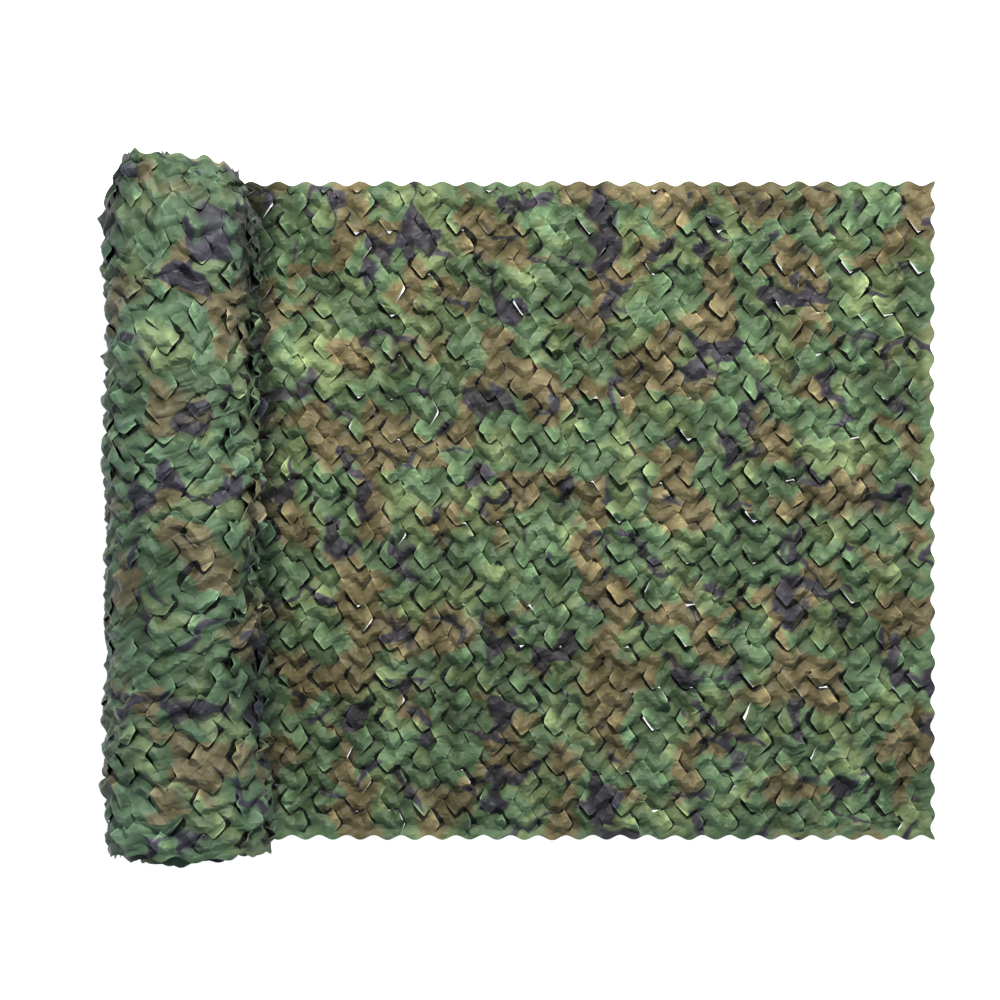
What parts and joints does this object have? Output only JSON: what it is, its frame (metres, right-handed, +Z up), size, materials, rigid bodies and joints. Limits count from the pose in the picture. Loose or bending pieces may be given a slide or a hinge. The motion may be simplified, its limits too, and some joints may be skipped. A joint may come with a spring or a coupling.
{
  "type": "camouflage net",
  "caption": "Leaf-cut camouflage net with scalloped edges, partly wound in a loose roll with its free end laid out flat.",
  "frame": {"origin": "on the ground, in the middle of the whole net seen from above", "axes": "+Z up, +X from the roll towards the loose end, +Y along the roll"},
  "size_m": [1.873, 1.5256, 0.3315],
  "materials": {
    "cloth_wound": "matt coated polyester cloth with a four-colour woodland print, in the wound part",
    "cloth_flat": "matt coated polyester cloth with a four-colour woodland print, in the loose end"
  },
  "bodies": {
    "root": {"net_roll": "cloth_wound", "net_sheet": "cloth_flat"}
  },
  "joints": []
}
